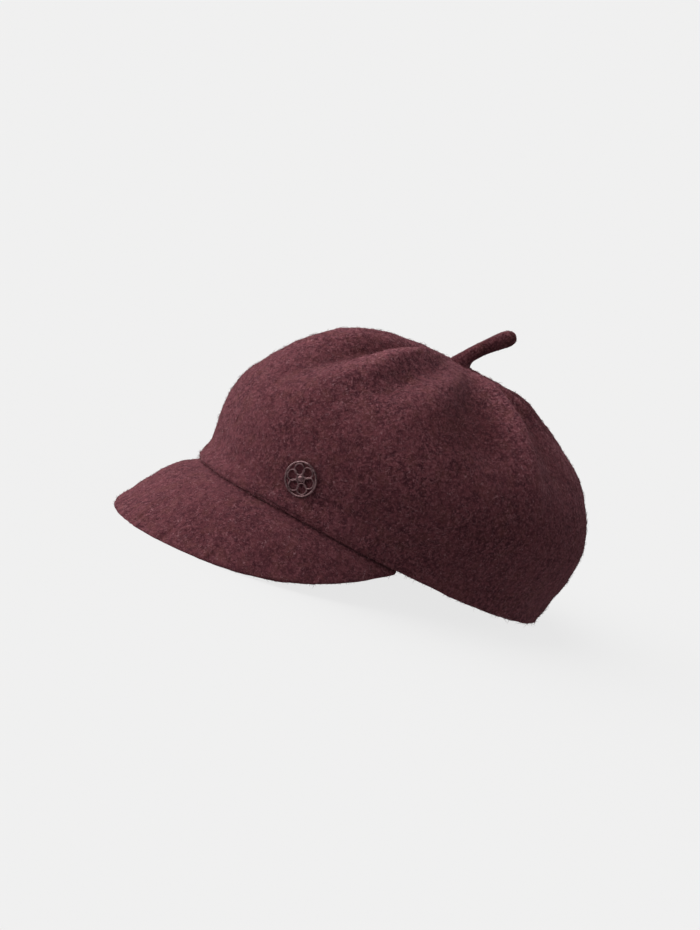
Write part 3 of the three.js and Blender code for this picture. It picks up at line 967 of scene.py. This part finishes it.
def felt_material(name, tone, shift, painted_shading=False):
    material, tree, shader = new_material(name)
    seen = felt_patterns(tree, shift)
    height = 0.0
    for pattern, share in HEIGHTS.items():
        height = maths(tree, "ADD", height, maths(tree, "MULTIPLY", seen[pattern], share))
    bump = linked(
        tree, "ShaderNodeBump",
        {"Height": height, "Strength": FELT_BUMP, "Distance": FELT_BUMP_DEEP * MM},
    )
    tree.links.new(felt_colour(tree, seen, tone, painted_shading), shader.inputs["Base Color"])
    tree.links.new(stretched(tree, seen["grain"], 0.3, 0.7, 0.86, 1), shader.inputs["Roughness"])
    tree.links.new(bump.outputs[0], shader.inputs["Normal"])
    shader.inputs["Specular IOR Level"].default_value = 0.0
    shader.inputs["Sheen Weight"].default_value = 0.12
    shader.inputs["Sheen Roughness"].default_value = 0.5
    shader.inputs["Sheen Tint"].default_value = FELT_SHEEN_TINT
    return material


# The crown and the peak carry painted light and shade, which this felt reads.
felt = felt_material("felt_burgundy", tone=1.0, shift=(0, 0, 0), painted_shading=True)
stem_felt = felt_material("felt_burgundy_dark", tone=0.85, shift=(0.3, 0.1, 0))
print("felt ready:", felt.name, "and", stem_felt.name)

# %% [markdown]
# ## The finish of the nap
#
# Each fibre has one colour, from plum to pale rose, and is a little darker at its root. The
# mesh carries both in a map: across it runs the fibre's own shade, up it runs the way from
# root to tip. So one material serves every fibre. A material for each shade would do the
# same with more to keep in step.

# %% Nap
NAP_STOPS = {0.3: BURGUNDY, 0.7: ROSE}
ROOT_DARKNESS = 0.45


def nap_material():
    material, tree, shader = new_material("wool_nap")
    where = linked(tree, "ShaderNodeUVMap", uv_map="OFBake").outputs[0]
    parts = linked(tree, "ShaderNodeSeparateXYZ", {"Vector": where})
    ramp = linked(tree, "ShaderNodeValToRGB", {"Fac": parts.outputs["X"]})
    stops = ramp.color_ramp.elements
    stops[0].position, stops[0].color = 0.0, (*PLUM, 1)
    stops[1].position, stops[1].color = 1.0, (*HAIR, 1)
    for position, dye in NAP_STOPS.items():
        stop = stops.new(position)
        stop.color = (*dye, 1)
    rooted = stretched(tree, parts.outputs["Y"], 0, 0.5, ROOT_DARKNESS, 0)
    colour = blended(tree, rooted, ramp.outputs[0], PLUM)
    tree.links.new(colour, shader.inputs["Base Color"])
    shader.inputs["Roughness"].default_value = 0.9
    shader.inputs["Specular IOR Level"].default_value = 0.03
    return material


nap_finish = nap_material()
print("the nap runs from plum to pale rose in", len(NAP_STOPS) + 2, "stops")

# %% [markdown]
# ## The finish of the badge
#
# The wire is plated dark and toned to the colour of the felt. One even colour would look
# like plastic. Real plating wears in spots, so noise varies its colour and its gloss, and a
# fine bump stands for small scratches that break its highlights.

# %% Metal
DARK_PLATING, WORN_PLATING = (0.07, 0.034, 0.038), (0.19, 0.115, 0.12)
GLOSS_AND_MATT = (0.22, 0.38)


def metal_material():
    material, tree, shader = new_material("badge_plating")
    place = linked(tree, "ShaderNodeTexCoord").outputs["Object"]
    stain = noise_of(tree, place, 1.6, 3, 0.6)
    scratch = noise_of(tree, place, 0.25, 2, 0.6, 1.0)
    worn = stretched(tree, stain, 0.35, 0.7)
    colour = blended(tree, worn, DARK_PLATING, WORN_PLATING)
    tree.links.new(colour, shader.inputs["Base Color"])
    tree.links.new(stretched(tree, stain, 0.3, 0.7, *GLOSS_AND_MATT), shader.inputs["Roughness"])
    bump = linked(
        tree, "ShaderNodeBump", {"Height": scratch, "Strength": 0.2, "Distance": 0.05 * MM},
    )
    tree.links.new(bump.outputs[0], shader.inputs["Normal"])
    shader.inputs["Metallic"].default_value = 0.85
    return material


metal = metal_material()
print("metal ready:", metal.name)

# %% [markdown]
# ## Put the pieces together
#
# The cap is all one body, so each piece rides on it and stands for the plain solid it replaces.
# The nap replaces nothing: it rides along with the felt it grows on.

# %% Dress the frame
DRESSED = [
    (crown, "crown", "felt", felt),
    (peak, "peak", "felt", felt),
    (stem, "stem", "felt", stem_felt),
    (badge, "badge", "badge_metal", metal),
]
for piece, node, slot, finish in DRESSED:
    piece.data.materials.append(finish)
    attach(piece, "root")
    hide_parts(node)
for nap in naps:
    nap.data.materials.append(nap_finish)
    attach(nap, "root")

# %% [markdown]
# ## The ground
#
# The cap is shown on a plain pale ground, one wide disc, so that its far edge stays out of
# the picture. It could be white paper, but a lamp strong enough to show dark wool makes
# white paper glare. So the disc is dark paper that glows evenly by itself, and the lamp adds
# only a little, which leaves a faint shadow. It is hidden from bounced light, or its glow
# would light the cap from below.

# %% Ground
GROUND_RADIUS = 30
GROUND_GLOW = 0.777
ground_bm = bmesh.new()
bmesh.ops.create_circle(ground_bm, cap_ends=True, segments=64, radius=GROUND_RADIUS)
ground = finished(ground_bm, "ground")
ground_finish, ground_tree, ground_shader = new_material("ground_paper")
ground_shader.inputs["Base Color"].default_value = (0.07, 0.07, 0.07, 1)
ground_shader.inputs["Emission Color"].default_value = (1, 1, 1, 1)
ground_shader.inputs["Emission Strength"].default_value = GROUND_GLOW
ground_shader.inputs["Roughness"].default_value = 1
ground_shader.inputs["Specular IOR Level"].default_value = 0
ground.data.materials.append(ground_finish)
ground.visible_diffuse = False
ground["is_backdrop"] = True

# %% [markdown]
# ## The camera
#
# The camera looks at the wearer's left and front from a little above the rim. The picture
# was composed with the cap tilted nose down, so the camera is rolled instead of the cap. Its
# directions are written for the upright cap and turned with it. It stands far off with a
# long lens, as for a picture of goods, so near and far parts keep their proportions.

# %% Camera
VIEW_ANGLE, VIEW_LIFT, VIEW_ROLL = 58 * DEGREE, 5 * DEGREE, 25.3 * DEGREE
VIEW_DISTANCE = 2500
FARTHEST_SEEN = 100
PICTURE_WIDE, PICTURE_HIGH = 700, 930
PIXELS_PER_MM = 1.93
SENSOR = 36
AIM = np.array([0, 0, 40.0])
AIM_PIXEL = (398.94, 476.08)


def tipped(direction):
    """A direction on the upright cap, as it is once the cap lies down."""
    return unit(lay_down(AIM + 0.1 * np.asarray(direction)) - lay_down(AIM))


toward = np.array([
    math.sin(VIEW_ANGLE) * math.cos(VIEW_LIFT),
    -math.cos(VIEW_ANGLE) * math.cos(VIEW_LIFT),
    math.sin(VIEW_LIFT),
])
level = np.array([math.cos(VIEW_ANGLE), math.sin(VIEW_ANGLE), 0])
above = np.cross(toward, level)
picture_right = level * math.cos(VIEW_ROLL) + above * math.sin(VIEW_ROLL)
picture_up = above * math.cos(VIEW_ROLL) - level * math.sin(VIEW_ROLL)
off_right = (AIM_PIXEL[0] - PICTURE_WIDE / 2) / PIXELS_PER_MM
off_up = (PICTURE_HIGH / 2 - AIM_PIXEL[1]) / PIXELS_PER_MM
centre = AIM - picture_right * off_right - picture_up * off_up
camera_data = bpy.data.cameras.new("camera")
camera_data.sensor_width = SENSOR
camera_data.lens = PIXELS_PER_MM * VIEW_DISTANCE * SENSOR / PICTURE_HIGH
camera = bpy.data.objects.new("camera", camera_data)
axes = [tipped(way) for way in (picture_right, picture_up, toward)]
turned = Matrix(axes).transposed().to_4x4()
stand = lay_down(centre + toward * VIEW_DISTANCE)
camera.matrix_world = Matrix.Translation(stand) @ turned
camera_data.clip_end = FARTHEST_SEEN
bpy.context.scene.collection.objects.link(camera)
bpy.context.scene.camera = camera
print("camera at", np.round(stand, 3), "lens", round(camera_data.lens, 1))

# %% [markdown]
# ## The light
#
# A broad sun stands for the studio's soft light, high to the left and a little behind the
# cap: its wide angle gives each fold a soft edge. An area lamp could do the same, but its
# light would fall off with distance. The surroundings give the weak light in the shadows.
# The direction has three parts, to the right of the picture, up it, and toward the camera.

# %% Light
LIGHT_FROM = (-0.61, 0.74, -0.22)
LIGHT_POWER, LIGHT_WIDTH, LIGHT_COLOUR = 5.8, 110 * DEGREE, (1.0, 0.985, 0.97)
SURROUNDING_POWER = 0.38
sun_data = bpy.data.lights.new("studio_light", "SUN")
sun_data.energy = LIGHT_POWER
sun_data.angle = LIGHT_WIDTH
sun_data.color = LIGHT_COLOUR
sun = bpy.data.objects.new("studio_light", sun_data)
shine = unit(sum(part * axis for part, axis in zip(LIGHT_FROM, axes, strict=True)))
sun.rotation_mode = "QUATERNION"
sun.rotation_quaternion = Vector(shine).to_track_quat("Z", "Y")
bpy.context.scene.collection.objects.link(sun)

world = bpy.data.worlds.new("studio")
world.use_nodes = True
surround = world.node_tree.nodes["Background"]
surround.inputs["Color"].default_value = (1, 1, 1, 1)
surround.inputs["Strength"].default_value = SURROUNDING_POWER
bpy.context.scene.world = world
bpy.context.scene.view_settings.view_transform = "Standard"
print("the light comes from", np.round(shine, 2))

# %% [markdown]
# ## The sizes
#
# The dressed cap has to fill the same space as the construction model, so the sizes of both
# boxes are printed.

# %% Note the sizes
boxes = {"cad": [list(corner) for corner in cad_box], "visual": [list(c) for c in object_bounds()]}
for name, (low, high) in boxes.items():
    print(name, "box in mm:", [round((b - a) / MM, 1) for a, b in zip(low, high, strict=True)])
